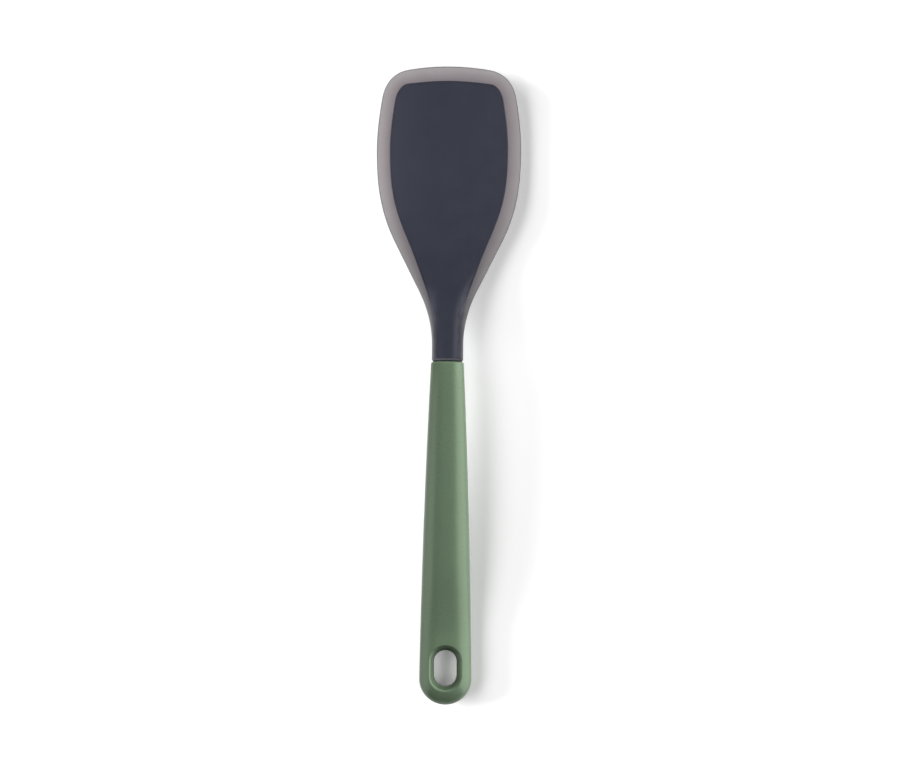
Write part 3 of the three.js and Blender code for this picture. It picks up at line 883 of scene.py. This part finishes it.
def silicone_finish():
    """Milky grey silicone, a clear skin over the core, with painted shade along its edge and painted light
    on the blade and at the neck's end.
    """
    finish = Finish("silicone_translucent")
    share = finish.attribute("lip_share")
    sleeve = finish.attribute("sleeve_share")

    # 1 over the core: from its edge on the blade, and from further in round the neck
    over_blade = finish.between(share, low=1.0, high=1.12)
    over_neck = finish.between(share, low=0.3, high=3.4)
    round_neck = finish.between(sleeve, low=0.8, high=1.0)
    over_core = finish.mix(round_neck, over_blade, over_neck, kind="FLOAT")

    lip_tone = finish.ramp(share, LIP_TONES)
    neck_tone = finish.ramp(share, NECK_TONES)
    tone = finish.mix(over_core, finish.mix(sleeve, lip_tone, neck_tone), VEIL_TONE)
    lip_cover = finish.ramp(share, LIP_COVER)
    cover = finish.mix(sleeve, lip_cover, NECK_COVER, kind="FLOAT")
    # Painted light: the skin over the blade hides more of the dark core, so the blade reads lighter than
    # the neck.
    veil_cover_painted_light = finish.mix(sleeve, BLADE_VEIL_COVER_PAINTED_LIGHT, NECK_VEIL_COVER, kind="FLOAT")
    finish.give(
        Base_Color=finish.clouded(tone, finish.noise(size=9.0, detail=3.0), SILICONE_CLOUD),
        Alpha=finish.mix(over_core, cover, veil_cover_painted_light, kind="FLOAT"),
        Roughness=finish.vary(finish.noise(size=2.5, detail=3.0), low=0.4, high=0.5),
        Normal=finish.grain(finish.noise(size=1.2), depth=0.01),
        IOR=1.41,
        Specular_IOR_Level=0.3,
    )
    return finish.material


def nylon_finish():
    """Dark filled nylon with faint flow marks and a fine tooth."""
    finish = Finish("nylon_dark")
    finish.give(
        Base_Color=finish.tones(finish.noise(size=11.0, detail=5.0), NYLON_DARK, NYLON_LIGHT),
        Roughness=finish.vary(finish.noise(size=1.0, detail=3.0), low=0.3, high=0.36),
        Normal=finish.grain(finish.noise(size=0.4, detail=3.0), depth=0.01),
        Specular_IOR_Level=0.25,
    )
    return finish.material


def shell_finish():
    """Grey moulded plastic of the half shells inside the grip."""
    finish = Finish("shell_grey")
    finish.give(
        Base_Color=finish.tones(finish.noise(size=6.0, detail=4.0), SHELL_DARK, SHELL_LIGHT),
        Roughness=finish.vary(finish.noise(size=0.8, detail=3.0), low=0.5, high=0.6),
        Normal=finish.grain(finish.noise(size=0.5, detail=3.0), depth=0.02),
    )
    return finish.material


# Studio

# Soft distant lamps: the direction that each shines from in degrees, its level on a surface that faces
# it, and the angle that it fills. Each set lights only the handle, only the head or only the floor.
HANDLE_LAMPS = {
    "handle_right": dict(azimuth=34, elevation=30, level=1.6, angle=50),
    "handle_left": dict(azimuth=160, elevation=25, level=0.38, angle=50),
    "handle_top": dict(azimuth=90, elevation=75, level=0.16, angle=90),
}
HEAD_LAMPS = {
    "head_right": dict(azimuth=15, elevation=25, level=0.17, angle=60),
    "head_left": dict(azimuth=180, elevation=62, level=0.62, angle=60),
    "head_top": dict(azimuth=90, elevation=50, level=0.2, angle=90),
}
FLOOR_LAMPS = {
    "floor_upper_left": dict(azimuth=150, elevation=43, level=0.3, angle=28),
    "floor_lower_left": dict(azimuth=198, elevation=43, level=0.34, angle=28),
    "floor_low": dict(azimuth=172, elevation=15, level=1.6, angle=27),
    "floor_right": dict(azimuth=345, elevation=45, level=0.46, angle=40),
}

# Panels that show in reflections: their side, their radiance, and the degrees that they reach up and to
# the front
PANELS = (
    dict(side=1, radiance=3.3, top=66, front=45),
    dict(side=-1, radiance=2.1, top=56, front=4),
)
PANEL_BACK = 45  # degrees that they reach to the back
PANEL_SOFTNESS = 4  # degrees over which an edge fades, to either side
SKY_RADIANCE = 0.05
FLOOR_ALBEDO = 0.9
FLOOR_GLOW = 0.18
FLOOR_SIZE = 8.0  # metres
FLOOR_GAP = 0.00005  # metres that it lies below the spatula's lowest faces

VIEW_WIDTH = 0.4512  # metres across the picture, at the height of the spatula
VIEW_MIDDLE = Vector((0.00133, 0.00103, 0.006))
VIEW_DISTANCE = 2.0
SENSOR_WIDTH = 36  # millimetres
VIEW_ROLL = math.radians(0.41)


def make_lamp(name, lit, azimuth, elevation, level, angle):
    """A soft distant lamp that lights only the given objects and shows in no reflection."""
    lamp = bpy.data.lights.new(name, "SUN")
    lamp.energy = level * math.pi
    lamp.angle = math.radians(angle)
    sun = bpy.data.objects.new(name, lamp)
    bpy.context.scene.collection.objects.link(sun)
    around = math.radians(azimuth)
    up = math.radians(elevation)
    source = Vector((math.cos(up) * math.cos(around), math.cos(up) * math.sin(around), math.sin(up)))
    sun.rotation_euler = source.to_track_quat("Z", "Y").to_euler()
    sun.visible_glossy = False
    group = bpy.data.collections.new("lit_by_" + name)
    for thing in lit:
        group.objects.link(thing)
    sun.light_linking.receiver_collection = group


def make_world():
    """Tall panels at either side that only reflections show. The camera, also through glass, sees white."""
    world = bpy.data.worlds.new("studio")
    bpy.context.scene.world = world
    world.use_nodes = True
    nodes = Nodes(world.node_tree)
    way = nodes.add("SeparateXYZ", {"Vector": nodes.add("TexCoord").outputs["Generated"]})
    path = nodes.add("LightPath")

    def within(turn, end):
        low = math.radians(end - PANEL_SOFTNESS)
        high = math.radians(end + PANEL_SOFTNESS)
        return nodes.math("SUBTRACT", 1.0, nodes.between(turn, low, high))

    light = SKY_RADIANCE
    for panel in PANELS:
        out = nodes.math("MULTIPLY", way.outputs["X"], panel["side"])
        up = nodes.math("ARCTAN2", way.outputs["Z"], out)
        ahead = nodes.math("ARCTAN2", way.outputs["Y"], out)
        behind = nodes.math("MULTIPLY", ahead, -1.0)
        width = nodes.math("MULTIPLY", within(ahead, panel["front"]), within(behind, PANEL_BACK))
        area = nodes.math("MULTIPLY", within(up, panel["top"]), width)
        shown = nodes.math("MULTIPLY", area, path.outputs["Is Glossy Ray"])
        light = nodes.math("ADD", nodes.math("MULTIPLY", shown, panel["radiance"]), light)
    seen = nodes.math("MAXIMUM", path.outputs["Is Camera Ray"], path.outputs["Is Transmission Ray"])
    background = world.node_tree.nodes["Background"]
    nodes.feed(background.inputs["Color"], grey(1.0))
    nodes.feed(background.inputs["Strength"], nodes.mix(seen, light, 1.0, kind="FLOAT"))


def make_floor():
    """A pale floor that glows a little for the camera, so it is white outside the shadow."""
    bpy.ops.mesh.primitive_plane_add(size=FLOOR_SIZE, location=(0, 0, -FLOOR_GAP))
    floor = bpy.context.object
    floor.name = "floor"
    material = bpy.data.materials.new("floor_white")
    material.use_nodes = True
    material.node_tree.nodes.clear()
    nodes = Nodes(material.node_tree)
    path = nodes.add("LightPath")
    seen = path.outputs["Is Camera Ray"]
    for ray in ("Is Glossy Ray", "Is Transmission Ray"):
        seen = nodes.math("MAXIMUM", seen, path.outputs[ray])
    diffuse = nodes.add("BsdfDiffuse", {"Color": grey(FLOOR_ALBEDO)})
    glow = nodes.add("Emission", {"Strength": nodes.math("MULTIPLY", seen, FLOOR_GLOW)})
    both = nodes.add("AddShader", {0: diffuse.outputs["BSDF"], 1: glow.outputs["Emission"]})
    nodes.add("OutputMaterial", {"Surface": both.outputs["Shader"]})
    floor.data.materials.append(material)
    return floor


def make_camera():
    """Straight down from above, turned a little, as in the photograph."""
    lens = bpy.data.cameras.new("camera")
    lens.sensor_width = SENSOR_WIDTH
    lens.lens = SENSOR_WIDTH * VIEW_DISTANCE / VIEW_WIDTH
    camera = bpy.data.objects.new("camera", lens)
    bpy.context.scene.collection.objects.link(camera)
    camera.location = VIEW_MIDDLE + Vector((0, 0, VIEW_DISTANCE))
    camera.rotation_euler = (0, 0, VIEW_ROLL)
    bpy.context.scene.camera = camera


# Scene

outline = head_outline()
head = [
    make_silicone(outline, silicone_finish()),
    make_core(outline, nylon_finish()),
]
handle = [
    make_grip(soft_green("grip_green", GREEN, GRIP_ROUGHNESS)),
    # The liner's darker green is painted shade of the eye's recess.
    make_eye_ring(soft_green("liner_green", shade(GREEN, LINER_PAINTED_SHADE), LINER_ROUGHNESS)),
]
shell_material = shell_finish()
for name in ("handle_core_upper", "handle_core_lower"):
    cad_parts[name].data.materials.clear()
    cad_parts[name].data.materials.append(shell_material)

floor = make_floor()
for lamps, lit in ((HANDLE_LAMPS, handle), (HEAD_LAMPS, head), (FLOOR_LAMPS, [floor])):
    for name, settings in lamps.items():
        make_lamp(name, lit, **settings)
make_world()
make_camera()
bpy.context.scene.view_settings.view_transform = "Standard"
